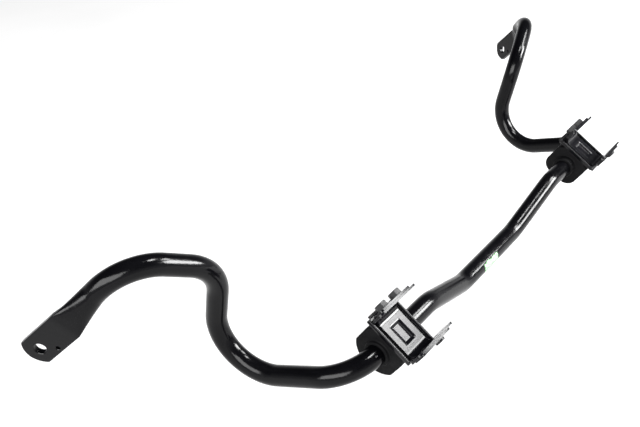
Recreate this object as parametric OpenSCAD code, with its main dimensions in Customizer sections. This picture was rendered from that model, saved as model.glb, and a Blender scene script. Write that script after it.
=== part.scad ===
// Automotive stabiliser (sway) bar with its two bushings and frame brackets.
// X runs across the car, +Y towards the ends of the arms, +Z up with the bar at rest on a flat floor.
// The origin is the middle of the pivot axis that the two bushings share.

/* [Bar] */
// Diameter of the round bar
bar_d = 24; // [20:0.5:28]
// Centre-line radius of the bends in the arms
arm_bend_r = 55; // [45:1:58]
// Centre-line radius of the bend next to each bushing
exit_bend_r = 50; // [40:1:52]
// Centre-line radius of the two kinks of the dropped centre section
kink_r = 60; // [40:1:120]
// Half the length of the straight centre section
centre_half = 73; // [50:1:90]
// How far the centre section hangs below the pivot axis
centre_drop = 36.5; // [20:0.5:40]
// How far the centre section stands towards the arms
centre_set = 8; // [0:0.5:12]

/* [Link paddles] */
// Width of the flattened end
paddle_w = 34; // [30:0.5:38]
// Thickness of the flattened end
paddle_t = 7; // [6:0.5:10]
// Diameter of the hole for the drop link's stud
link_hole_d = 13.5; // [10:0.5:15]
// Diameter of the small hole beside it, by which the bar hangs while it is painted
hang_hole_d = 4.5; // [3:0.5:6]

/* [Bushings] */
// Distance from the middle of the bar to the middle of each bushing
bushing_x = 254; // [245:1:256]
// Length of a bushing between its end faces
bushing_l = 43; // [40:1:44]
// Radial running clearance between the rubber and the bar
bushing_play = 0.05; // [0.02:0.01:0.1]

/* [Brackets] */
// Tilt of the brackets about the pivot axis, away from the arms
bracket_tilt = 34; // [25:1:40]
// Thickness of the sheet steel
sheet = 2.5; // [2:0.25:2.5]
// Height of the channel's floor above the pivot axis
saddle_h = 28; // [27:0.5:30]
// Height of the flanges' top edge above the pivot axis
flange_top = 60; // [57:1:64]
// Length of the flanges along the bar
flange_l = 68; // [62:1:76]
// Distance between the two bolts of a flange
bolt_pitch = 25; // [22:1:28]

/* [Hidden] */
SIDES = ["left", "right"];
SIDE_PARTS = ["bushing_upper", "bushing_lower", "strap", "saddle_plate", "frame_bracket",
              "nut_plate", "weld_nuts", "pad_plate", "clinch_nut"];
$fn = 72;
slice_t = 0.5;                // thickness of a hull's end slice
slice_fn = 32;                // sides of a slice
over = 1;                     // how far a cutting tool runs past the face it opens

// Bar route: corner points of the right half, from the centre to the end of the round section.
hole_pos = [511.3, 240.9, 60.7];
paddle_turn = [96, 41.5, 62.3];   // roll, dip and heading of the flattened end
flat_back = 46;               // flat length behind the link hole
// Neck between flat and round: distance behind the hole, width, thickness, and drop of the
// section's middle behind the flat's own, because the tube is pressed towards one side.
neck = [[56, 30, 10, 3], [68, 27, 17, 9]];
round_end = [468, 194.3, 118.4];  // where the bar is fully round
end_arc_r = 21.7;             // rounding of the paddle's free end
end_reach = 17.4;             // link hole to the tip of the paddle
hang_hole_pos = [-15.7, -11.3];
skin = 0.02;                  // the straights are this much thicker than the bends, so each joint is clean
lap = 0.5;                    // how far a straight runs into the bend at its end
swell = 0.25;                 // the neck starts this much wider than the bar, which runs into it

route = [[0, centre_set, -centre_drop],
         [centre_half, centre_set, -centre_drop],
         [172, 0, 0],
         [324, 0, 0],
         [351, 184, -68],
         [351, 145.5, 99],
         [444, 169, 150],
         round_end];
bend_radii = [0, kink_r, kink_r, exit_bend_r, arm_bend_r, arm_bend_r, arm_bend_r, 0];

// Bushing section: flat top under the saddle plate, straight sides, round bottom.
bush_top = saddle_h - 2 * sheet;
bush_half_w = 24;
bush_floor = -27;
bush_corner_r = 13;
bore_r = bar_d / 2 + skin + bushing_play;
lip_l = 6;                    // the rounder lips at both ends, clear of the strap
lip_r = 29.5;
neck_l = 4;                   // short collar that grips the bar past the outer end face
inner_neck_l = 11;            // the longer one on the side of the centre section
neck_wall = 3;
slit = 0.4;                   // gap between the two rubber halves

// Strap: U of sheet around the rubber between the lips, with feet turned outwards.
strap_t = 3;
strap_l = bushing_l - 2 * lip_l - 0.6;
foot_reach = 34;

// Saddle plate on the strap's feet, with a rim turned up at both ends.
plate_half_l = 24.5;
plate_half_w = 31;
rim_h = 4;

// Channel on the saddle plate: floor with a pressed pan, and two flanges.
channel_shift = -2.5;
channel_l = 34;
channel_half_w = 27.5;        // middle of each flange from the channel's own centre
channel_bend_r = 7;
pan_l = 18;
pan_w = 27;
pan_slope = 4.5;              // how far the pan's walls lean inwards
pan_depth = sheet - 0.1;
pan_gap = 0.5;
wing_low = 36;                // the flanges widen between these heights
wing_high = 44;
wing_corner_r = 7;
bolt_h = 46;
bolt_clear_d = 9;

// Doubler plates and nuts on the outside of the flanges.
doubler_l = 54;
doubler_low = 38;
doubler_top = flange_top - 3;
doubler_corner_r = 4;
thread_d = 6.8;               // minor diameter of an M8 thread
nut_af = 13;
nut_h = 6.8;
nut_chamfer = 0.8;
clinch_d = 12;
clinch_h = 3.2;
arc_steps = 8;

// ---------- vectors ----------
function unit(v) = v / norm(v);
function row_dir(i) = unit(route[i + 1] - route[i]);
function bend_angle(i) = acos(row_dir(i - 1) * row_dir(i));
function bend_reach(i) = bend_radii[i] == 0 ? 0 : bend_radii[i] * tan(bend_angle(i) / 2);
function side_sign(side) = side == "left" ? -1 : 1;

// Turned by roll, dip and heading, as rotate() turns a part.
function turned(p, a) =
    let (q = [p.x, p.y * cos(a.x) - p.z * sin(a.x), p.y * sin(a.x) + p.z * cos(a.x)],
         r = [q.x * cos(a.y) + q.z * sin(a.y), q.y, q.z * cos(a.y) - q.x * sin(a.y)])
    [r.x * cos(a.z) - r.y * sin(a.z), r.x * sin(a.z) + r.y * cos(a.z), r.z];
// A direction of the bar, measured in the paddle's own frame.
function in_paddle(v) = [v * turned([1, 0, 0], paddle_turn),
                         v * turned([0, 1, 0], paddle_turn),
                         v * turned([0, 0, 1], paddle_turn)];

// ---------- bar ----------
// Sets its children at a, with their +Z towards b.
module aimed(a, b) {
    w = unit(b - a);
    u = unit(cross(abs(w.x) < 0.9 ? [1, 0, 0] : [0, 1, 0], w));
    v = cross(w, u);
    multmatrix([[u.x, v.x, w.x, a.x], [u.y, v.y, w.y, a.y], [u.z, v.z, w.z, a.z]])
        children();
}

// A round length from a to b, running a little into the bends at its ends.
module straight(a, b) {
    aimed(a, b)
        translate([0, 0, -lap])
            cylinder(h = norm(b - a) + 2 * lap, r = bar_d / 2 + skin);
}

// The round bend at corner i of the route.
module bend(i) {
    travel = row_dir(i - 1);
    inward = unit(row_dir(i) - travel * cos(bend_angle(i)));
    centre = route[i] - travel * bend_reach(i) + inward * bend_radii[i];
    u = -inward;
    w = cross(u, travel);
    multmatrix([[u.x, travel.x, w.x, centre.x],
                [u.y, travel.y, w.y, centre.y],
                [u.z, travel.z, w.z, centre.z]])
        rotate_extrude(angle = bend_angle(i))
            translate([bend_radii[i], 0])
                circle(d = bar_d);
}

// One half of the round bar, from the centre plane to the start of the paddle.
module half_route() {
    last = len(route) - 1;
    for (i = [0 : last - 1])
        straight(route[i] + row_dir(i) * bend_reach(i), route[i + 1] - row_dir(i) * bend_reach(i + 1));
    for (i = [1 : last - 1])
        bend(i);
}

// Outline of the flattened end, with its link hole at the origin and its tip along X.
module paddle_outline() {
    intersection() {
        translate([-flat_back, -paddle_w / 2])
            square([flat_back + end_reach, paddle_w]);
        union() {
            translate([end_reach - end_arc_r, 0])
                circle(r = end_arc_r);
            translate([-flat_back - over, -paddle_w / 2])
                square([flat_back + over, paddle_w]);
        }
    }
}

// A thin slice of the neck, n = [distance behind the hole, width, thickness, drop].
module neck_slice(n) {
    translate([-n[0], 0, -n[3]])
        rotate([0, 90, 0])
            scale([n[2] / bar_d, n[1] / bar_d, 1])
                cylinder(h = slice_t, d = bar_d, $fn = slice_fn);
}

// The flattened end in its own frame, with the neck back to the round bar.
module paddle() {
    far = in_paddle(round_end - hole_pos);
    far_dir = in_paddle(row_dir(len(route) - 2));
    difference() {
        union() {
            translate([0, 0, -paddle_t / 2])
                linear_extrude(paddle_t)
                    paddle_outline();
            hull() {
                translate([-flat_back, -paddle_w / 2, -paddle_t / 2])
                    cube([slice_t, paddle_w, paddle_t]);
                neck_slice(neck[0]);
            }
            hull() {
                neck_slice(neck[0]);
                neck_slice(neck[1]);
            }
            hull() {
                neck_slice(neck[1]);
                aimed(far, far + far_dir)
                    cylinder(h = slice_t, r = bar_d / 2 + swell, $fn = slice_fn);
            }
        }
        cylinder(h = 2 * paddle_t, d = link_hole_d, center = true);
        translate(hang_hole_pos)
            cylinder(h = 2 * paddle_t, d = hang_hole_d, center = true);
    }
}

module half_bar() {
    half_route();
    translate(hole_pos)
        rotate(paddle_turn)
            paddle();
}

module bar() {
    color("#101113") {
        half_bar();
        mirror([1, 0, 0])
            half_bar();
    }
}

// ---------- outlines seen along the bar ----------
// Extrudes an outline drawn across the bar, centred on the length l along it.
module across(l) {
    rotate([90, 0, 90])
        linear_extrude(l, center = true)
            children();
}

// Extrudes an outline drawn along the bar, from y to y + t.
module facing(y, t) {
    translate([0, y + t, 0])
        rotate([90, 0, 0])
            linear_extrude(t)
                children();
}

// A U with rounded bottom corners.
module u_outline(half_w, low, top, r) {
    translate([r - half_w, low])
        square([2 * (half_w - r), top - low]);
    translate([-half_w, low + r])
        square([2 * half_w, top - low - r]);
    for (s = [-1, 1])
        translate([s * (half_w - r), low + r])
            circle(r = r);
}

function arc(centre, r, from, to) =
    [for (k = [0 : arc_steps]) centre + r * [cos(from + (to - from) * k / arc_steps),
                                             sin(from + (to - from) * k / arc_steps)]];

// ---------- bushing ----------
module lip_outline() {
    intersection() {
        circle(r = lip_r);
        translate([-bush_half_w - strap_t, -lip_r])
            square([2 * (bush_half_w + strap_t), lip_r + bush_top]);
    }
}

// s is 1 on the right and -1 on the left, where the longer collar points the other way.
module rubber(s) {
    difference() {
        union() {
            across(bushing_l - 2 * lip_l)
                u_outline(bush_half_w, bush_floor, bush_top, bush_corner_r);
            for (end = [-1, 1])
                translate([end * (bushing_l - lip_l) / 2, 0, 0])
                    across(lip_l)
                        lip_outline();
            translate([s * (neck_l - inner_neck_l) / 2, 0, 0])
                rotate([0, 90, 0])
                    cylinder(h = bushing_l + neck_l + inner_neck_l, r = bore_r + neck_wall, center = true);
        }
        rotate([0, 90, 0])
            cylinder(h = 2 * bushing_l, r = bore_r, center = true);
    }
}

module bushing_upper(s) {
    color("#2b2b2d")
        intersection() {
            rubber(s);
            translate([-bushing_l, -lip_r, slit / 2])
                cube([2 * bushing_l, 2 * lip_r, bush_top]);
        }
}

module bushing_lower(s) {
    color("#2b2b2d")
        intersection() {
            rubber(s);
            translate([-bushing_l, -lip_r, -slit / 2 - lip_r])
                cube([2 * bushing_l, 2 * lip_r, lip_r]);
        }
}

// ---------- bracket ----------
module strap() {
    foot_l = foot_reach - bush_half_w - strap_t;
    color("#17181a") {
        across(strap_l)
            difference() {
                u_outline(bush_half_w + strap_t, bush_floor - strap_t, bush_top, bush_corner_r + strap_t);
                u_outline(bush_half_w, bush_floor, bush_top + over, bush_corner_r);
            }
        for (turn = [0, 180])
            rotate([0, 0, turn])
                translate([-strap_l / 2, bush_half_w + strap_t, bush_top - strap_t])
                    cube([strap_l, foot_l, strap_t]);
    }
}

module saddle_plate() {
    color("#17181a")
        difference() {
            union() {
                translate([-plate_half_l, -plate_half_w, bush_top])
                    cube([2 * plate_half_l, 2 * plate_half_w, sheet]);
                for (turn = [0, 180])
                    rotate([0, 0, turn])
                        translate([plate_half_l - sheet, -plate_half_w, bush_top])
                            cube([sheet, 2 * plate_half_w, sheet + rim_h]);
            }
            translate([-pan_l / 2 - pan_gap, channel_shift - pan_w / 2 - pan_gap, bush_top - over])
                cube([pan_l + 2 * pan_gap, pan_w + 2 * pan_gap, sheet + 2 * over]);
        }
}

// Outline of a pan's section with its rim at height z and its walls leaning inwards.
module pan_outline(w, z) {
    polygon([[pan_slope - w / 2, z - pan_depth],
             [w / 2 - pan_slope, z - pan_depth],
             [w / 2, z],
             [w / 2, z + over],
             [-w / 2, z + over],
             [-w / 2, z]]);
}

module pan(z) {
    intersection() {
        across(pan_l)
            pan_outline(pan_w, z);
        facing(-pan_w / 2, pan_w)
            pan_outline(pan_l, z);
    }
}

module flange_outline() {
    tip = flange_l / 2;
    high = flange_top - wing_corner_r;
    polygon(concat([[-channel_l / 2, saddle_h - sheet - over],
                    [channel_l / 2, saddle_h - sheet - over],
                    [channel_l / 2, wing_low],
                    [tip, wing_high]],
                   arc([tip - wing_corner_r, high], wing_corner_r, 0, 90),
                   arc([wing_corner_r - tip, high], wing_corner_r, 90, 180),
                   [[-tip, wing_high],
                    [-channel_l / 2, wing_low]]));
}

// The two bolts' places, seen along the bar's side.
module at_bolts() {
    for (s = [-1, 1])
        translate([s * bolt_pitch / 2, bolt_h])
            children();
}

module frame_bracket() {
    half_w = channel_half_w + sheet / 2;
    color("#1b1c1e")
        translate([0, channel_shift, 0])
            difference() {
                union() {
                    intersection() {
                        across(flange_l + 2 * over)
                            difference() {
                                u_outline(half_w, saddle_h - sheet, flange_top, channel_bend_r + sheet);
                                u_outline(half_w - sheet, saddle_h, flange_top + over, channel_bend_r);
                            }
                        facing(-half_w - over, 2 * (half_w + over))
                            flange_outline();
                    }
                    pan(saddle_h - sheet);
                }
                pan(saddle_h);
                facing(-half_w - over, 2 * (half_w + over))
                    at_bolts()
                        circle(d = bolt_clear_d);
            }
}

// Plate on the outside of a flange, from y to y + sheet.
module doubler(y) {
    tip = doubler_l / 2;
    r = doubler_corner_r;
    facing(y, sheet)
        difference() {
            polygon(concat(arc([tip - r, doubler_low + r], r, -90, 0),
                           arc([tip - r, doubler_top - r], r, 0, 90),
                           arc([r - tip, doubler_top - r], r, 90, 180),
                           arc([r - tip, doubler_low + r], r, 180, 270)));
            at_bolts()
                circle(d = bolt_clear_d);
        }
}

rear_face = channel_shift + channel_half_w + sheet / 2;
front_face = channel_shift - channel_half_w - sheet / 2;

module nut_plate() {
    color("#1b1c1e")
        doubler(rear_face);
}

module pad_plate() {
    color("#1b1c1e")
        doubler(front_face - sheet);
}

// A hexagon nut standing along +Z, its free end chamfered, with a bore of the thread's minor diameter.
module hex_nut() {
    corner_r = nut_af / 2 / cos(30);
    difference() {
        intersection() {
            cylinder(h = nut_h, r = corner_r, $fn = 6);
            rotate_extrude()
                polygon([[0, 0], [corner_r + over, 0], [corner_r + over, nut_h - nut_chamfer - over / 2],
                         [corner_r - nut_chamfer, nut_h], [0, nut_h]]);
        }
        translate([0, 0, -over])
            cylinder(h = nut_h + 2 * over, d = thread_d);
    }
}

module weld_nuts() {
    color("#232427")
        for (s = [-1, 1])
            translate([s * bolt_pitch / 2, rear_face + sheet, bolt_h])
                rotate([-90, 0, 0])
                    hex_nut();
}

module clinch_nut() {
    color("#232427")
        translate([bolt_pitch / 2, front_face - sheet, bolt_h])
            rotate([90, 0, 0])
                difference() {
                    cylinder(h = clinch_h, d = clinch_d);
                    translate([0, 0, -over])
                        cylinder(h = clinch_h + 2 * over, d = thread_d);
                }
}

// A part of the bracket set in its place on one side of the car.
module placed(side) {
    translate([side_sign(side) * bushing_x, 0, 0])
        rotate([bracket_tilt, 0, 0])
            children();
}

bar();
for (side = SIDES)
    placed(side) {
        bushing_upper(side_sign(side));
        bushing_lower(side_sign(side));
        strap();
        saddle_plate();
        frame_bracket();
        nut_plate();
        weld_nuts();
        pad_plate();
        clinch_nut();
    }
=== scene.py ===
"""Automotive stabiliser bar with its bushings and frame brackets: shapes, looks, light and camera.

Lengths below are in millimetres in the part's frame, and MM turns them into Blender's metres.
"""
import math

import bmesh
import bpy
from mathutils import Matrix, Vector


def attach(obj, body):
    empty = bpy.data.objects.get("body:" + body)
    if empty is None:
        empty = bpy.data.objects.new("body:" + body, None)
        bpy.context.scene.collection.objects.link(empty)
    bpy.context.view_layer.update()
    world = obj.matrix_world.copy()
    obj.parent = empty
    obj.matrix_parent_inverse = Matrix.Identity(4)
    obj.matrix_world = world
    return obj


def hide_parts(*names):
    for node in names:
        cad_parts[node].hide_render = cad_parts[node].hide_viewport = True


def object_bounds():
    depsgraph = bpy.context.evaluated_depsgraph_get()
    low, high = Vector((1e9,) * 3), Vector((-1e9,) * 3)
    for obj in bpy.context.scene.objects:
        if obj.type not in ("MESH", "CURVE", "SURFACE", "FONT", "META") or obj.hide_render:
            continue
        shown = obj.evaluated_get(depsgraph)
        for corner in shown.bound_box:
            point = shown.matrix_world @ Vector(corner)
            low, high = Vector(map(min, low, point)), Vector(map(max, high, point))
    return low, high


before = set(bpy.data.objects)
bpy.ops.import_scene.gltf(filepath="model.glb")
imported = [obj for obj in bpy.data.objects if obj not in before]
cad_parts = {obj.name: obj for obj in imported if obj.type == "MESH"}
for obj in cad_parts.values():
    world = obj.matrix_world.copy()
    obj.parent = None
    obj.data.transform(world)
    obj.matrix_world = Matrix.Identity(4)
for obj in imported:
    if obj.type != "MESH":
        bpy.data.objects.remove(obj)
cad_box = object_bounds()

MM = 0.001
SIDES = ("left", "right")

# Bar, as the CAD has it: corner points of the middle line's right half, and the bend at each.
BAR_R = 12.0
ROUTE = [(0, 8, -36.5), (73, 8, -36.5), (172, 0, 0), (324, 0, 0), (351, 184, -68),
         (351, 145.5, 99), (444, 169, 150), (468, 194.3, 118.4)]
BEND_R = [0, 60, 60, 50, 55, 55, 55, 0]
HOLE = Vector((511.3, 240.9, 60.7))
PADDLE_TURN = (96, 41.5, 62.3)  # roll, dip and heading of the flattened end, in degrees
FLAT_BACK = 46  # flat length behind the link hole
PADDLE_W, PADDLE_T = 34, 7
END_R, END_REACH = 21.7, 17.4  # rounding of the free end, and how far it lies past the link hole
LINK_R, HANG_R = 6.75, 2.25
HANG_AT = (-15.7, -11.3)
HOLE_CHAMFER = 0.6

# Neck between the flat and the round bar: distance behind the link hole, width, thickness, and how far
# the middle lies below the flat's own. A section's power is 2 for an ellipse and high for a rectangle.
NECK = [(57, 30.2, 11, 3.4), (70, 26.6, 19, 10)]
NECK_POWERS = [(52, 4), (60, 2.4)]
FLAT_POWER, ROUND_POWER = 14, 2

# Lengths between the bar's rings, and the number of points in each.
STRAIGHT_STEP, BEND_STEP, LEAST_STEP = 9, 3.5, 0.5
RING_POINTS = 48

# The green mark, brushed on the front of the centre section below this Y.
MARK_X, MARK_HALF_L, MARK_Y = -13, 18, -1.6

# The arms reach less than this below their place at rest when the bar turns fully down.
SWING_DROP = 42

# Brackets, in their own frame: origin in the middle of the bushing, X along the bar, Z up through the
# channel. The frame is tilted about the bar.
BUSHING_X = 254
TILT = math.radians(34)
SHEET = 2.5

# Rubber: body under the strap, lips beside it, and collars beyond the end faces.
SADDLE_TOP = 28
BUSH_TOP = SADDLE_TOP - 2 * SHEET
BORE_R = 12.07
BUSHING_L = 43
RUBBER_HALF_W, RUBBER_LOW = 24, -27
RUBBER_TOP_R, RUBBER_LOW_R = 1.5, 13
LIP_R, LIP_HALF_W, LIP_TOP_R = 29.5, 27, 2
OUTER_COLLAR, INNER_COLLAR, COLLAR_WALL = 4, 11, 3
HALF_GAP = 0.2  # half the slit between the two rubber halves

# Strap, and the saddle plate on its feet, which is a tray with a window under the channel's pan.
STRAP_T, STRAP_L, STRAP_FOOT = 3, 30.4, 34
TRAY_HALF_L, TRAY_HALF_W, TRAY_RIM, TRAY_FOLD = 24.5, 31, 4, 1.6
WINDOW_HALF_L, WINDOW_Y = 9.5, (-16.5, 11.5)

# Channel: floor with its pan, and flanges that widen from WING_LOW to WING_HIGH.
CHANNEL_SHIFT, CHANNEL_L, CHANNEL_HALF_W, CHANNEL_BEND_R = -2.5, 34, 27.5, 7
PAN_L, PAN_W, PAN_SLOPE, PAN_DEPTH = 18, 27, 4.5, 2.4
FLANGE_TOP, FLANGE_L = 60, 68
WING_LOW, WING_HIGH, WING_R = 36, 44, 7
REAR_FACE = CHANNEL_SHIFT + CHANNEL_HALF_W + SHEET / 2
FRONT_FACE = CHANNEL_SHIFT - CHANNEL_HALF_W - SHEET / 2

# Doublers, bolt holes and nuts.
DOUBLER_HALF_L, DOUBLER_LOW, DOUBLER_TOP, DOUBLER_R = 27, 38, FLANGE_TOP - 3, 4
DOUBLER_CLEAR = 0.02  # keeps a doubler's face off the flange's
BOLT_PITCH, BOLT_H, BOLT_R = 25, 46, 4.5
THREAD_R, THREAD_PITCH, THREAD_DEPTH = 3.4, 1.25, 0.55
HEX_AF, HEX_H, HEX_FLAT_R = 13, 6.8, 6.2
ROUND_NUT_R, ROUND_NUT_H, ROUND_NUT_FLAT_R = 6, 3.2, 5.4


# ---------- mesh helpers ----------
def bracket_frame(side):
    x = BUSHING_X if side == "right" else -BUSHING_X
    return Matrix.Translation((x, 0, 0)) @ Matrix.Rotation(TILT, 4, "X")


def shade(mesh, smooth_angle):
    mesh.shade_smooth()
    mesh.set_sharp_from_angle(angle=math.radians(smooth_angle))


def add_piece(name, bm, place, body, node, material, smooth_angle=35):
    """Turns a bmesh in millimetres into a piece that stands for a CAD node and rides on its body."""
    bmesh.ops.recalc_face_normals(bm, faces=bm.faces)
    mesh = bpy.data.meshes.new(name)
    bm.to_mesh(mesh)
    bm.free()
    mesh.transform(Matrix.Scale(MM, 4) @ place)
    shade(mesh, smooth_angle)
    mesh.materials.append(material)
    obj = bpy.data.objects.new(name, mesh)
    bpy.context.scene.collection.objects.link(obj)
    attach(obj, body)
    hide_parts(node)
    return obj


def round_edges(obj, width, segments=2, angle=30):
    bevel = obj.modifiers.new("round_edges", "BEVEL")
    bevel.width = width * MM
    bevel.segments = segments
    bevel.limit_method = "ANGLE"
    bevel.angle_limit = math.radians(angle)
    bevel.harden_normals = True
    bevel.miter_outer = "MITER_ARC"


def thicken(obj, thickness):
    solid = obj.modifiers.new("sheet", "SOLIDIFY")
    solid.thickness = thickness * MM
    solid.offset = 0
    solid.use_even_offset = True
    solid.use_quality_normals = True


def arc_points(centre, radius, start, end, steps):
    cx, cy = centre
    angles = [math.radians(start + (end - start) * k / steps) for k in range(steps + 1)]
    return [(cx + radius * math.cos(a), cy + radius * math.sin(a)) for a in angles]


def spread(low, high, steps):
    return [low + (high - low) * i / steps for i in range(steps + 1)]


def circle(radius):
    """A round outline, as a radius for any angle."""
    return lambda angle: radius


def ring_faces(bm, a, b, closed=True):
    n = len(a)
    for i in range(n if closed else n - 1):
        j = (i + 1) % n
        bm.faces.new((a[i], a[j], b[j], b[i]))


# ---------- bar ----------
def bar_path():
    """Points and directions along the right half of the bar's middle line."""
    pts = [Vector(p) for p in ROUTE]
    out = []

    def add(point, direction):
        if not out or (point - out[-1][0]).length > LEAST_STEP:
            out.append((point, direction))

    last = pts[0]
    for i in range(1, len(pts)):
        back = (pts[i] - pts[i - 1]).normalized()
        if i == len(pts) - 1:
            stop = pts[i]
        else:
            ahead = (pts[i + 1] - pts[i]).normalized()
            turn = back.angle(ahead)
            reach = BEND_R[i] * math.tan(turn / 2)
            stop = pts[i] - back * reach
        steps = max(1, round((stop - last).length / STRAIGHT_STEP))
        for k in range(steps + 1):
            add(last.lerp(stop, k / steps), back)
        if i == len(pts) - 1:
            break
        inward = (ahead - back * math.cos(turn)).normalized()
        centre = stop + inward * BEND_R[i]
        steps = max(4, round(BEND_R[i] * turn / BEND_STEP))
        for k in range(1, steps + 1):
            a = turn * k / steps
            add(centre - inward * BEND_R[i] * math.cos(a) + back * BEND_R[i] * math.sin(a),
                back * math.cos(a) + inward * math.sin(a))
        last = out[-1][0]
    return out


def section(width, thickness, power):
    """Closed outline that goes from an ellipse at power 2 to nearly a rectangle at a high power."""
    pts = []
    for k in range(RING_POINTS):
        a = 2 * math.pi * k / RING_POINTS
        c, s = math.cos(a), math.sin(a)
        x = math.copysign(abs(c) ** (2 / power), c) * width / 2
        y = math.copysign(abs(s) ** (2 / power), s) * thickness / 2
        pts.append((x, y))
    return pts


def smoothstep(t):
    t = min(1, max(0, t))
    return t * t * (3 - 2 * t)


def straight_value(table, t):
    """Value at t on the straight lines between the rows of [(t, value), ...]."""
    t = min(max(t, table[0][0]), table[-1][0])
    for (t0, v0), (t1, v1) in zip(table, table[1:]):
        if t <= t1:
            return v0 + (v1 - v0) * (t - t0) / (t1 - t0)


def eased(table, t, span=5, samples=6):
    """The same with its corners rounded over a span to each side."""
    span = min(span, t - table[0][0], table[-1][0] - t)
    around = spread(t - span, t + span, 2 * samples)
    return sum(straight_value(table, x) for x in around) / len(around)


def paddle_frame():
    """The flattened end's own frame: origin in the link hole, X to the tip, Y across, Z out of its face."""
    roll, dip, heading = (math.radians(a) for a in PADDLE_TURN)
    turn = Matrix.Rotation(heading, 4, "Z") @ Matrix.Rotation(dip, 4, "Y") @ Matrix.Rotation(roll, 4, "X")
    return Matrix.Translation(HOLE) @ turn


def neck_rings(end, end_dir, steps=26):
    """Rings from the end of the round bar to the start of the flat, set out by distance behind the hole."""
    turn = paddle_frame().to_3x3()
    along, across, normal = turn.col
    end_local = turn.transposed() @ (end - HOLE)
    round_back, round_drop, round_side = -end_local.x, -end_local.z, end_local.y
    rows = [(FLAT_BACK, PADDLE_W, PADDLE_T, 0), *NECK, (round_back, 2 * BAR_R, 2 * BAR_R, round_drop)]
    widths, thicks, drops = ([(row[0], row[i]) for row in rows] for i in (1, 2, 3))
    powers = [(FLAT_BACK, FLAT_POWER), *NECK_POWERS, (round_back, ROUND_POWER)]
    rings = []
    for back in spread(round_back, FLAT_BACK, steps):
        blend = smoothstep((round_back - back) / (round_back - FLAT_BACK))
        direction = end_dir.lerp(along, blend).normalized()
        u = (across - direction * across.dot(direction)).normalized()
        v = direction.cross(u)
        centre = HOLE - along * back - normal * eased(drops, back)
        centre += across * round_side * (1 - blend)
        pts = section(eased(widths, back), eased(thicks, back), eased(powers, back))
        rings.append([centre + u * x + v * y for x, y in pts])
    return rings


def flat_rings(flat_steps=8, tip_steps=13):
    """Rings from the start of the flat to its tip. The last one stays just off the middle of the tip."""
    along, across, normal = paddle_frame().to_3x3().col
    corner = math.asin(PADDLE_W / 2 / END_R)
    arc_centre = END_REACH - END_R
    stations = [(-FLAT_BACK * (1 - k / flat_steps), PADDLE_W / 2) for k in range(1, flat_steps)]
    for k in range(tip_steps):
        a = corner * (1 - k / (tip_steps - 0.85))
        stations.append((arc_centre + END_R * math.cos(a), END_R * math.sin(a)))
    rings = []
    for ahead, half_w in stations:
        pts = section(2 * half_w, PADDLE_T, FLAT_POWER)
        rings.append([HOLE + along * ahead + across * x + normal * y for x, y in pts])
    return rings


def round_rings(path):
    """Rings of the round part, worked back from the neck so that their points line up with it."""
    end_dir = path[-1][1]
    across = paddle_frame().to_3x3().col[1]
    u = (across - end_dir * across.dot(end_dir)).normalized()
    pts = section(2 * BAR_R, 2 * BAR_R, ROUND_POWER)
    rings = []
    for point, direction in reversed(path[:-1]):
        u = (u - direction * u.dot(direction)).normalized()
        v = direction.cross(u)
        rings.append([point + (u * x + v * y) for x, y in pts])
    return list(reversed(rings))


def bar_rings():
    """Rings of points along the right half, from the middle of the bar to the tip of its flattened end."""
    path = bar_path()
    return round_rings(path) + neck_rings(*path[-1]) + flat_rings()


def make_hole_cutter(radius, at, name):
    """A lathe shape for one hole with a broken edge on both faces."""
    half = PADDLE_T / 2
    past = 2
    wide = radius + HOLE_CHAMFER + past
    profile = [(wide, -half - past), (radius, -half + HOLE_CHAMFER),
               (radius, half - HOLE_CHAMFER), (wide, half + past)]
    bm = bmesh.new()
    rings = []
    for r, z in profile:
        ring = arc_points(at, r, 0, 360, 48)[:-1]
        rings.append([bm.verts.new((x, y, z)) for x, y in ring])
    for a, b in zip(rings, rings[1:]):
        ring_faces(bm, a, b)
    bm.faces.new(rings[0])
    bm.faces.new(rings[-1])
    bmesh.ops.recalc_face_normals(bm, faces=bm.faces)
    mesh = bpy.data.meshes.new(name)
    bm.to_mesh(mesh)
    bm.free()
    return mesh


def cut_holes(obj):
    """Cuts the link hole and the hang hole of both ends out of the bar's mesh."""
    mirror = Matrix.Scale(-1, 4, (1, 0, 0))
    for radius, at, name in ((LINK_R, (0, 0), "link"), (HANG_R, HANG_AT, "hang")):
        for flip in (Matrix.Identity(4), mirror):
            cutter_mesh = make_hole_cutter(radius, at, name)
            cutter_mesh.transform(Matrix.Scale(MM, 4) @ flip @ paddle_frame())
            if flip == mirror:
                cutter_mesh.flip_normals()
            cutter = bpy.data.objects.new(name, cutter_mesh)
            bpy.context.scene.collection.objects.link(cutter)
            cut = obj.modifiers.new("cut", "BOOLEAN")
            cut.object = cutter
            cut.operation = "DIFFERENCE"
            cut.solver = "EXACT"
            bpy.context.view_layer.update()
            evaluated = obj.evaluated_get(bpy.context.evaluated_depsgraph_get())
            shape = bpy.data.meshes.new_from_object(evaluated)
            obj.modifiers.clear()
            obj.data = shape
            bpy.data.objects.remove(cutter)


def make_bar(material):
    rings = bar_rings()
    smooth_angle = 32
    bm = bmesh.new()
    right = [[bm.verts.new(p) for p in ring] for ring in rings]
    left = [right[0]] + [[bm.verts.new((-p.x, p.y, p.z)) for p in ring] for ring in rings[1:]]
    for half in (right, left):
        for a, b in zip(half, half[1:]):
            ring_faces(bm, a, b)
        bm.faces.new(half[-1])
    obj = add_piece("bar_painted", bm, Matrix.Identity(4), "bar", "bar", material, smooth_angle)
    cut_holes(obj)
    shade(obj.data, smooth_angle)


# ---------- bushings ----------
def box_distance(y, z, half_w, low, top, r):
    """Signed distance to a rounded rectangle."""
    mid, half_h = (low + top) / 2, (top - low) / 2
    dy, dz = abs(y) - half_w + r, abs(z - mid) - half_h + r
    return math.hypot(max(dy, 0), max(dz, 0)) + min(max(dy, dz), 0) - r


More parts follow.
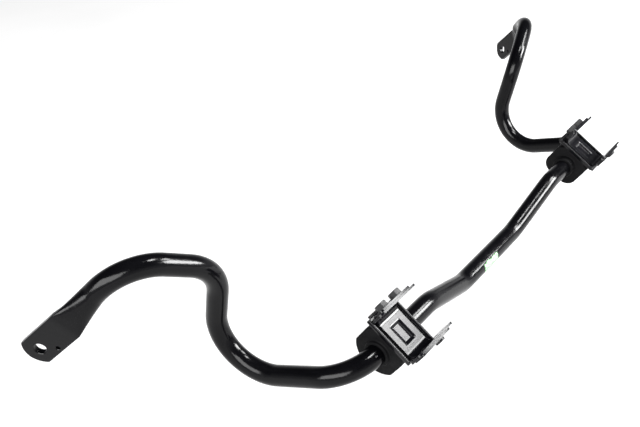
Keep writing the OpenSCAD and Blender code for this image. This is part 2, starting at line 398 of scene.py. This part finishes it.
def body_distance(y, z):
    """The rubber under the strap: small corners on top and large ones below."""
    beyond, corners_meet = 40, -10
    if z > corners_meet:
        return box_distance(y, z, RUBBER_HALF_W, -beyond, BUSH_TOP, RUBBER_TOP_R)
    return box_distance(y, z, RUBBER_HALF_W, RUBBER_LOW, beyond, RUBBER_LOW_R)


def lip_distance(y, z):
    """The lips beside the strap: a circle with a flat top and flat sides."""
    beyond = 40
    flats = box_distance(y, z, LIP_HALF_W, -beyond, BUSH_TOP, LIP_TOP_R)
    return max(math.hypot(y, z) - LIP_R, flats)


def ray_out(distance, angle, inset):
    """How far along a ray from the axis the outline lies, less an inset."""
    c, s = math.cos(angle), math.sin(angle)
    lo, hi = 5.0, 60.0
    for _ in range(30):
        mid = (lo + hi) / 2
        if distance(c * mid, s * mid) > -inset:
            hi = mid
        else:
            lo = mid
    return lo


def bushing_stations(collar):
    """Sections of half a bushing with its collar, as (distance from the middle, radius for an angle)."""
    def outline(distance, inset):
        return lambda angle: ray_out(distance, angle, inset)

    face = BUSHING_L / 2
    lip_start = STRAP_L / 2 + 0.3
    root, end = BORE_R + 5.5, BORE_R + COLLAR_WALL
    tip = face + collar
    body = [(STRAP_L / 2 + 0.2, outline(body_distance, 0.0))]
    # Rounded lip, as (distance, inset).
    lip = [(lip_start, 0.9), (lip_start + 0.4, 0.25), (lip_start + 1.1, 0.0),
           (face - 1.6, 0.0), (face - 0.7, 0.3), (face - 0.15, 0.9), (face, 1.8)]
    # Collar with a hollow at its root and a rounded end, as (distance, radius).
    neck = [(face, root), (face + 0.15, root - 1.3), (face + 0.7, end + 0.4), (face + 1.5, end),
            (tip - 0.8, end), (tip - 0.2, end - 0.4), (tip, end - 1.1)]
    return (body + [(x, outline(lip_distance, inset)) for x, inset in lip]
            + [(x, circle(radius)) for x, radius in neck])


def make_bushing(side, upper, material):
    """Half of a rubber bushing, as a loft of sections along the bar."""
    steps = 72
    angles = spread(0, math.pi, steps)
    sign = 1 if upper else -1
    collars = (INNER_COLLAR, OUTER_COLLAR) if side == "right" else (OUTER_COLLAR, INNER_COLLAR)
    stations = [(-x, f) for x, f in reversed(bushing_stations(collars[0]))] + bushing_stations(collars[1])
    bm = bmesh.new()
    rings = []
    for x, radius in stations:
        outside = [(radius(sign * a), a) for a in angles]
        bore = [(BORE_R, a) for a in reversed(angles)]
        ring = [(x, r * math.cos(a), sign * max(r * math.sin(a), HALF_GAP)) for r, a in outside + bore]
        rings.append([bm.verts.new(p) for p in ring])
    for a, b in zip(rings, rings[1:]):
        ring_faces(bm, a, b)
    for ring in (rings[0], rings[-1]):
        for k in range(steps):
            bm.faces.new((ring[k], ring[k + 1], ring[-k - 2], ring[-k - 1]))
    part = "upper" if upper else "lower"
    add_piece(f"rubber_{part}_{side}", bm, bracket_frame(side), f"{side}_bracket",
              f"bushing_{part}_{side}", material, 50)


# ---------- sheet-metal parts ----------
def strap_path():
    """Middle line of the strap, seen along the bar, from one foot's end to the other's."""
    side_y = RUBBER_HALF_W + STRAP_T / 2
    foot_z, floor_z = BUSH_TOP - STRAP_T / 2, RUBBER_LOW - STRAP_T / 2
    fold, corner = STRAP_T, RUBBER_LOW_R + STRAP_T / 2
    foot_middle, side_points = STRAP_FOOT - 3, (8, -4)
    half = [(STRAP_FOOT, foot_z), (foot_middle, foot_z)]
    half += arc_points((side_y + fold, foot_z - fold), fold, 90, 180, 6)
    half += [(side_y, z) for z in side_points]
    half += arc_points((side_y - corner, floor_z + corner), corner, 0, -90, 14)
    return half + [(-y, z) for y, z in reversed(half)]


def make_strap(side, material):
    path = strap_path()
    bm = bmesh.new()
    columns = spread(-STRAP_L / 2, STRAP_L / 2, 4)
    rows = [[bm.verts.new((x, y, z)) for x in columns] for y, z in path]
    for a, b in zip(rows, rows[1:]):
        ring_faces(bm, a, b, closed=False)
    obj = add_piece(f"strap_band_{side}", bm, bracket_frame(side), f"{side}_bracket",
                    f"strap_{side}", material)
    thicken(obj, STRAP_T)
    round_edges(obj, 0.5)


def make_saddle_plate(side, material):
    """Flat plate with a rim folded up at both ends and a window under the channel's pan."""
    mid_z, rim_top = BUSH_TOP + SHEET / 2, BUSH_TOP + SHEET + TRAY_RIM
    wall = TRAY_HALF_L - SHEET / 2
    window_low, window_high = WINDOW_Y
    profile = [(wall, rim_top)]
    profile += arc_points((wall - TRAY_FOLD, mid_z + TRAY_FOLD), TRAY_FOLD, 0, -90, 5)
    profile += [(14, mid_z), (WINDOW_HALF_L, mid_z)]
    profile += [(-x, z) for x, z in reversed(profile)]
    ys = [-TRAY_HALF_W, -24, window_low, -8, 0, window_high, 20, TRAY_HALF_W]
    bm = bmesh.new()
    rows = [[bm.verts.new((x, y, z)) for y in ys] for x, z in profile]
    for a, b, (xa, _), (xb, _) in zip(rows, rows[1:], profile, profile[1:]):
        across_window = max(abs(xa), abs(xb)) <= WINDOW_HALF_L
        for i in range(len(ys) - 1):
            in_window = across_window and window_low <= ys[i] and ys[i + 1] <= window_high
            if not in_window:
                bm.faces.new((a[i], a[i + 1], b[i + 1], b[i]))
    bmesh.ops.delete(bm, geom=[v for v in bm.verts if not v.link_faces], context="VERTS")
    obj = add_piece(f"saddle_tray_{side}", bm, bracket_frame(side), f"{side}_bracket",
                    f"saddle_plate_{side}", material)
    thicken(obj, SHEET)
    round_edges(obj, 1.0, 4)


def pan_sink(x, y):
    """How far the channel's floor is pressed down at a point."""
    inside = min(PAN_L / 2 - abs(x), PAN_W / 2 - abs(y)) / PAN_SLOPE
    steeper = 1.15
    return PAN_DEPTH * smoothstep(inside * steeper)


def flange_outline():
    """Outline of a flange above its fold, seen from the side, without the points on the fold."""
    tip, high = FLANGE_L / 2, FLANGE_TOP - WING_R
    half = [(CHANNEL_L / 2, WING_LOW + 0.5), (tip - 1.2, WING_HIGH - 0.4), (tip, WING_HIGH + 1)]
    half += arc_points((tip - WING_R, high), WING_R, 0, 90, 8)
    return half + [(-x, z) for x, z in reversed(half)]


def fill_with_holes(bm, loops):
    """Fills the flat region inside the first loop and outside the others."""
    edges = []
    for loop in loops:
        for i in range(len(loop)):
            a, b = loop[i], loop[(i + 1) % len(loop)]
            edges.append(bm.edges.get((a, b)) or bm.edges.new((a, b)))
    bmesh.ops.triangle_fill(bm, edges=edges, use_beauty=True, use_dissolve=False)


def bolt_holes(bm, y):
    """Rings of points round the two bolt holes of a flange or doubler that lies at y."""
    rings = []
    for s in (-1, 1):
        ring = arc_points((s * BOLT_PITCH / 2, BOLT_H), BOLT_R, 0, 360, 32)[:-1]
        rings.append([bm.verts.new((x, y, z)) for x, z in ring])
    return rings


def make_channel(side, material):
    """The frame bracket: channel floor with its pan, two folds and two flanges with bolt holes."""
    mid_z = SADDLE_TOP - SHEET / 2
    fold = CHANNEL_BEND_R + SHEET / 2
    flat = CHANNEL_HALF_W - fold
    columns = spread(-CHANNEL_L / 2, CHANNEL_L / 2, 34)
    ys = spread(-flat, flat, 38)
    rows = [[(x, y + CHANNEL_SHIFT, mid_z - pan_sink(x, y)) for x in columns] for y in ys]
    for a in spread(0, math.pi / 2, 7)[1:]:
        y, z = flat + fold * math.sin(a), mid_z + fold * (1 - math.cos(a))
        rows.append([(x, CHANNEL_SHIFT + y, z) for x in columns])
        rows.insert(0, [(x, CHANNEL_SHIFT - y, z) for x in columns])
    bm = bmesh.new()
    grid = [[bm.verts.new(p) for p in row] for row in rows]
    for a, b in zip(grid, grid[1:]):
        ring_faces(bm, a, b, closed=False)
    for row, y in ((grid[0], CHANNEL_SHIFT - CHANNEL_HALF_W), (grid[-1], CHANNEL_SHIFT + CHANNEL_HALF_W)):
        loop = row + [bm.verts.new((x, y, z)) for x, z in flange_outline()]
        fill_with_holes(bm, [loop] + bolt_holes(bm, y))
    obj = add_piece(f"channel_{side}", bm, bracket_frame(side), f"{side}_bracket",
                    f"frame_bracket_{side}", material)
    thicken(obj, SHEET)
    round_edges(obj, 0.4)


def make_doubler(side, rear, material):
    """Plate on the outside of a flange, with two bolt holes."""
    y = REAR_FACE + SHEET / 2 if rear else FRONT_FACE - SHEET / 2
    side_x, low, top = DOUBLER_HALF_L - DOUBLER_R, DOUBLER_LOW + DOUBLER_R, DOUBLER_TOP - DOUBLER_R
    corners = [((side_x, low), -90), ((side_x, top), 0), ((-side_x, top), 90), ((-side_x, low), 180)]
    outline = []
    for corner, start in corners:
        outline += arc_points(corner, DOUBLER_R, start, start + 90, 6)
    bm = bmesh.new()
    loop = [bm.verts.new((x, y, z)) for x, z in outline]
    fill_with_holes(bm, [loop] + bolt_holes(bm, y))
    node = f"nut_plate_{side}" if rear else f"pad_plate_{side}"
    name = f"doubler_rear_{side}" if rear else f"doubler_front_{side}"
    obj = add_piece(name, bm, bracket_frame(side), f"{side}_bracket", node, material)
    thicken(obj, SHEET - DOUBLER_CLEAR)
    round_edges(obj, 0.45)


def nut_rings(height, outer, flat_r):
    """Rings round a nut's axis as (radius for an angle, height), outside first and bore last."""
    def chamfered(a):
        return height - max(0.0, (outer(a) - flat_r) * 0.55) - 0.05

    edge, lead_in, crest_w = 0.3, 0.6, 0.3
    crest, root = circle(THREAD_R), circle(THREAD_R + THREAD_DEPTH)
    rings = [(lambda a: outer(a) - edge, 0.0), (outer, edge), (outer, chamfered),
             (circle(flat_r), height), (circle(THREAD_R + 0.7), height)]
    for k in range(int((height - 2 * lead_in) / THREAD_PITCH)):
        z = height - lead_in - k * THREAD_PITCH
        rings += [(crest, z), (crest, z - crest_w), (root, z - crest_w - THREAD_PITCH * 0.35)]
    return rings + [(crest, 0.5), (circle(THREAD_R + 0.5), 0.0)]


def add_nut(bm, centre, up, height, outer, flat_r, count=60):
    """One nut standing along up (+1 or -1 along Y) from its seat."""
    rings = []
    for radius, z in nut_rings(height, outer, flat_r):
        ring = []
        for a in spread(0, 2 * math.pi, count)[:-1]:
            r = radius(a)
            h = z(a) if callable(z) else z
            ring.append(bm.verts.new(centre + Vector((r * math.cos(a), up * h, r * math.sin(a)))))
        rings.append(ring)
    for i, ring in enumerate(rings):
        ring_faces(bm, ring, rings[(i + 1) % len(rings)])


def hexagon(af):
    """Outline of a hexagon of a width across flats, as a radius for any angle."""
    def radius(a):
        sector = math.pi / 3
        off = (a + sector / 2) % sector - sector / 2
        return af / 2 / math.cos(sector / 2 - abs(off))
    return radius


def make_nuts(side, material):
    bm = bmesh.new()
    for s in (-1, 1):
        seat = Vector((s * BOLT_PITCH / 2, REAR_FACE + SHEET, BOLT_H))
        add_nut(bm, seat, 1, HEX_H, hexagon(HEX_AF), HEX_FLAT_R)
    add_piece(f"hex_nuts_{side}", bm, bracket_frame(side), f"{side}_bracket",
              f"weld_nuts_{side}", material, 28)


def make_clinch_nut(side, material):
    bm = bmesh.new()
    seat = Vector((BOLT_PITCH / 2, FRONT_FACE - SHEET, BOLT_H))
    add_nut(bm, seat, -1, ROUND_NUT_H, circle(ROUND_NUT_R), ROUND_NUT_FLAT_R)
    add_piece(f"round_nut_{side}", bm, bracket_frame(side), f"{side}_bracket",
              f"clinch_nut_{side}", material, 28)


# ---------- materials ----------
class Nodes:
    """Short way to build a material's node tree."""

    def __init__(self, name):
        self.material = bpy.data.materials.new(name)
        self.material.use_nodes = True
        self.tree = self.material.node_tree
        self.shader = self.tree.nodes["Principled BSDF"]
        self.coords = self.add("ShaderNodeTexCoord").outputs["Object"]

    def add(self, kind, **settings):
        node = self.tree.nodes.new(kind)
        for key, value in settings.items():
            setattr(node, key, value)
        return node

    def link(self, a, b):
        self.tree.links.new(a, b)

    def noise(self, scale, detail=4.0, rough=0.55):
        node = self.add("ShaderNodeTexNoise")
        node.inputs["Scale"].default_value = scale
        node.inputs["Detail"].default_value = detail
        node.inputs["Roughness"].default_value = rough
        self.link(self.coords, node.inputs["Vector"])
        return node.outputs["Fac"]

    def ramp(self, value, stops):
        node = self.add("ShaderNodeValToRGB")
        elements = node.color_ramp.elements
        while len(elements) < len(stops):
            elements.new(0.5)
        for element, (at, colour) in zip(elements, stops):
            element.position = at
            element.color = (*colour, 1) if isinstance(colour, tuple) else (colour, colour, colour, 1)
        self.link(value, node.inputs["Fac"])
        return node.outputs["Color"]

    def mix(self, fac, a, b):
        """Blend of two colours. A Mix node's colour sockets are 6, 7 and 2."""
        node = self.add("ShaderNodeMix", data_type="RGBA")
        self.put(fac, node.inputs[0])
        self.put(a, node.inputs[6])
        self.put(b, node.inputs[7])
        return node.outputs[2]

    def put(self, value, socket):
        """Sets a socket to a number or colour, or links another socket to it."""
        if isinstance(value, (int, float)):
            socket.default_value = value
        elif isinstance(value, tuple):
            socket.default_value = (*value, 1)
        else:
            self.link(value, socket)

    def maths(self, operation, *values):
        node = self.add("ShaderNodeMath", operation=operation)
        for value, socket in zip(values, node.inputs):
            self.put(value, socket)
        return node.outputs[0]

    def bump(self, height, strength, distance):
        node = self.add("ShaderNodeBump")
        node.inputs["Strength"].default_value = strength
        node.inputs["Distance"].default_value = distance
        self.link(height, node.inputs["Height"])
        self.link(node.outputs["Normal"], self.shader.inputs["Normal"])

    def paint_mark(self):
        """1 inside the ragged mark on the front of the centre section, and 0 elsewhere."""
        parts = self.add("ShaderNodeSeparateXYZ")
        self.link(self.coords, parts.inputs[0])
        ragged = self.maths("MULTIPLY", self.maths("SUBTRACT", self.noise(130, 2, 0.5), 0.5), 0.003)
        along = self.maths("ADD", parts.outputs[0], ragged)
        off = self.maths("ABSOLUTE", self.maths("SUBTRACT", along, MARK_X * MM))
        inside = self.maths("LESS_THAN", off, MARK_HALF_L * MM)
        front = self.maths("LESS_THAN", self.maths("ADD", parts.outputs[1], ragged), MARK_Y * MM)
        return self.maths("MULTIPLY", inside, front)

    def edge(self, radius, low, high):
        """1 on the edges of the shape and 0 on its faces."""
        bevel = self.add("ShaderNodeBevel", samples=6)
        bevel.inputs["Radius"].default_value = radius
        geometry = self.add("ShaderNodeNewGeometry")
        dot = self.add("ShaderNodeVectorMath", operation="DOT_PRODUCT")
        self.link(bevel.outputs["Normal"], dot.inputs[0])
        self.link(geometry.outputs["Normal"], dot.inputs[1])
        return self.ramp(dot.outputs["Value"], [(low, 1.0), (high, 0.0)])


def bar_paint():
    """Glossy black paint with orange peel, dust specks, edges lightened in patches as wear and as a painted
    highlight, and the green mark.
    """
    n = Nodes("bar_paint")
    black = n.ramp(n.noise(14, 3), [(0.3, (0.0009, 0.0009, 0.0012)), (0.75, (0.002, 0.002, 0.0025))])
    specks = n.ramp(n.noise(750, 2, 0.7), [(0.62, 0.0), (0.72, 1.0)])
    dusty = n.ramp(n.noise(9, 3), [(0.45, 0.0), (0.7, 0.5)])
    black = n.mix(n.maths("MULTIPLY", specks, dusty), black, (0.018, 0.018, 0.0175))
    # Lighter edges in patches: partly rubbed paint, partly a painted highlight where the edges would catch
    # the light.
    patches = n.ramp(n.noise(110, 4, 0.7), [(0.5, 0.0), (0.62, 0.7)])
    worn_and_highlit_edges = n.maths("MULTIPLY", n.edge(0.0007, 0.82, 0.98), patches)
    black = n.mix(worn_and_highlit_edges, black, (0.05, 0.05, 0.05))
    mark = n.paint_mark()
    green = n.ramp(n.noise(300, 3), [(0.35, (0.16, 0.38, 0.16)), (0.7, (0.28, 0.52, 0.28))])
    n.put(n.mix(mark, black, green), n.shader.inputs["Base Color"])
    gloss = n.ramp(n.noise(55, 5, 0.65), [(0.3, 0.10), (0.6, 0.18), (0.75, 0.30)])
    n.put(n.maths("MAXIMUM", gloss, n.maths("MULTIPLY", mark, 0.45)), n.shader.inputs["Roughness"])
    n.shader.inputs["IOR"].default_value = 1.24
    peel = n.maths("ADD", n.noise(260, 2), n.maths("MULTIPLY", n.noise(620, 3, 0.6), 0.3))
    n.bump(peel, 0.2, 0.0005)
    return n.material


def rubber():
    """Moulded rubber: matt, dark and slightly cloudy, with a fine grain."""
    n = Nodes("rubber")
    n.put(n.ramp(n.noise(60, 4), [(0.3, (0.002, 0.002, 0.0023)), (0.75, (0.004, 0.004, 0.0043))]),
          n.shader.inputs["Base Color"])
    n.put(n.ramp(n.noise(180, 4), [(0.3, 0.55), (0.75, 0.75)]), n.shader.inputs["Roughness"])
    n.shader.inputs["Specular IOR Level"].default_value = 0.08
    n.bump(n.noise(800, 3, 0.6), 0.25, 0.0004)
    return n.material


def coated_steel(name, dark, light, rough_low, rough_high, worn_and_highlit_edge_colour):
    """Black coated sheet or nuts, lightened along the edges partly as rubbed-thin coating and partly as a
    painted highlight.
    """
    n = Nodes(name)
    cloud = n.noise(45, 5, 0.6)
    face = n.ramp(cloud, [(0.3, dark), (0.75, light)])
    # Lighter edges in patches: partly rubbed coating, partly a painted highlight standing in for the glint
    # of rounded edges.
    patches = n.ramp(n.noise(130, 4, 0.7), [(0.42, 0.15), (0.62, 1.0)])
    worn_and_highlit_edges = n.maths("MULTIPLY", n.edge(0.0008, 0.80, 0.985), patches)
    n.put(n.mix(worn_and_highlit_edges, face, worn_and_highlit_edge_colour), n.shader.inputs["Base Color"])
    n.put(n.ramp(n.noise(90, 5, 0.65), [(0.3, rough_low), (0.75, rough_high)]), n.shader.inputs["Roughness"])
    n.shader.inputs["IOR"].default_value = 1.29
    n.bump(n.maths("ADD", cloud, n.maths("MULTIPLY", n.noise(330, 3, 0.6), 0.15)), 0.03, 0.0006)
    return n.material


# ---------- studio ----------
SENSOR_W, LENS = 36, 41.36625
CAMERA_AT = Vector((-0.7655, -0.3396, 0.5328))
CAMERA_RIGHT = Vector((0.61228, -0.78870, -0.05536))
CAMERA_UP = Vector((0.43581, 0.27824, 0.85595))


def make_camera():
    data = bpy.data.cameras.new("camera")
    data.sensor_width = SENSOR_W
    data.lens = LENS
    data.clip_start = 0.01
    right = CAMERA_RIGHT.normalized()
    up = (CAMERA_UP - right * CAMERA_UP.dot(right)).normalized()
    back = right.cross(up)
    camera = bpy.data.objects.new("camera", data)
    camera.matrix_world = Matrix.Translation(CAMERA_AT) @ Matrix((right, up, back)).transposed().to_4x4()
    bpy.context.scene.collection.objects.link(camera)
    bpy.context.scene.camera = camera


def make_floor():
    """A pale floor that glows a little, so that it fades into the white walls."""
    n = Nodes("floor")
    n.put(n.ramp(n.noise(3, 2), [(0.3, 0.22), (0.7, 0.25)]), n.shader.inputs["Base Color"])
    n.shader.inputs["Roughness"].default_value = 0.9
    n.shader.inputs["Specular IOR Level"].default_value = 0.1
    n.shader.inputs["Emission Color"].default_value = (1, 1, 1, 1)
    n.shader.inputs["Emission Strength"].default_value = 0.72
    size, z = 30, cad_box[0].z - SWING_DROP * MM
    corners = [(-size, -size, z), (size, -size, z), (size, size, z), (-size, size, z)]
    mesh = bpy.data.meshes.new("floor")
    mesh.from_pydata(corners, [], [(0, 1, 2, 3)])
    mesh.materials.append(n.material)
    floor = bpy.data.objects.new("floor", mesh)
    bpy.context.scene.collection.objects.link(floor)


def softbox(name, at, towards, size, power):
    data = bpy.data.lights.new(name, "AREA")
    data.shape = "RECTANGLE"
    data.size, data.size_y = size
    data.energy = power
    light = bpy.data.objects.new(name, data)
    light.location = at
    light.rotation_euler = (Vector(towards) - Vector(at)).to_track_quat("-Z", "Y").to_euler()
    bpy.context.scene.collection.objects.link(light)


def from_angle(azimuth, elevation, distance):
    a, e = math.radians(azimuth), math.radians(elevation)
    flat = distance * math.cos(e)
    return (flat * math.cos(a), flat * math.sin(a), distance * math.sin(e))


def make_world():
    """Pale walls round a dark ceiling."""
    world = bpy.data.worlds.new("studio")
    world.use_nodes = True
    tree = world.node_tree
    coords = tree.nodes.new("ShaderNodeTexCoord")
    parts = tree.nodes.new("ShaderNodeSeparateXYZ")
    ramp = tree.nodes.new("ShaderNodeValToRGB")
    stops = [(0.08, (0.86, 0.86, 0.88, 1)), (0.45, (0.03, 0.03, 0.032, 1))]
    for element, (height, colour) in zip(ramp.color_ramp.elements, stops):
        element.position = height
        element.color = colour
    tree.links.new(coords.outputs["Generated"], parts.inputs[0])
    tree.links.new(parts.outputs[2], ramp.inputs["Fac"])
    tree.links.new(ramp.outputs["Color"], tree.nodes["Background"].inputs["Color"])
    bpy.context.scene.world = world


def make_studio():
    make_world()
    bpy.context.scene.view_settings.view_transform = "Standard"
    aim = (0, 0.08, 0)
    softbox("key", from_angle(-52, 28, 2.2), aim, (1.1, 0.7), 165)
    softbox("fill", from_angle(-172, 26, 2.4), aim, (2.4, 1.1), 105)
    softbox("plates", from_angle(-35, 47, 2.0), aim, (0.6, 0.45), 34)
    softbox("top", from_angle(-55, 70, 2.0), aim, (0.5, 0.3), 30)


# ---------- assembly ----------
make_camera()
make_studio()
make_floor()

paint = bar_paint()
black_rubber = rubber()
# The last colour of each coated steel is its lighter edge colour: partly wear, partly a painted highlight.
strap_steel = coated_steel("strap_steel", (0.0025, 0.0025, 0.003), (0.0045, 0.0045, 0.005), 0.3, 0.5,
                           (0.025, 0.025, 0.028))
bracket_steel = coated_steel("bracket_steel", (0.0015, 0.0015, 0.002), (0.003, 0.003, 0.004), 0.14, 0.22,
                             (0.08, 0.08, 0.085))
nut_steel = coated_steel("nut_steel", (0.0015, 0.0015, 0.002), (0.003, 0.003, 0.004), 0.34, 0.48,
                         (0.05, 0.05, 0.055))

make_bar(paint)
for side in SIDES:
    make_bushing(side, True, black_rubber)
    make_bushing(side, False, black_rubber)
    make_strap(side, strap_steel)
    make_saddle_plate(side, bracket_steel)
    make_channel(side, bracket_steel)
    make_doubler(side, True, bracket_steel)
    make_doubler(side, False, bracket_steel)
    make_nuts(side, nut_steel)
    make_clinch_nut(side, nut_steel)
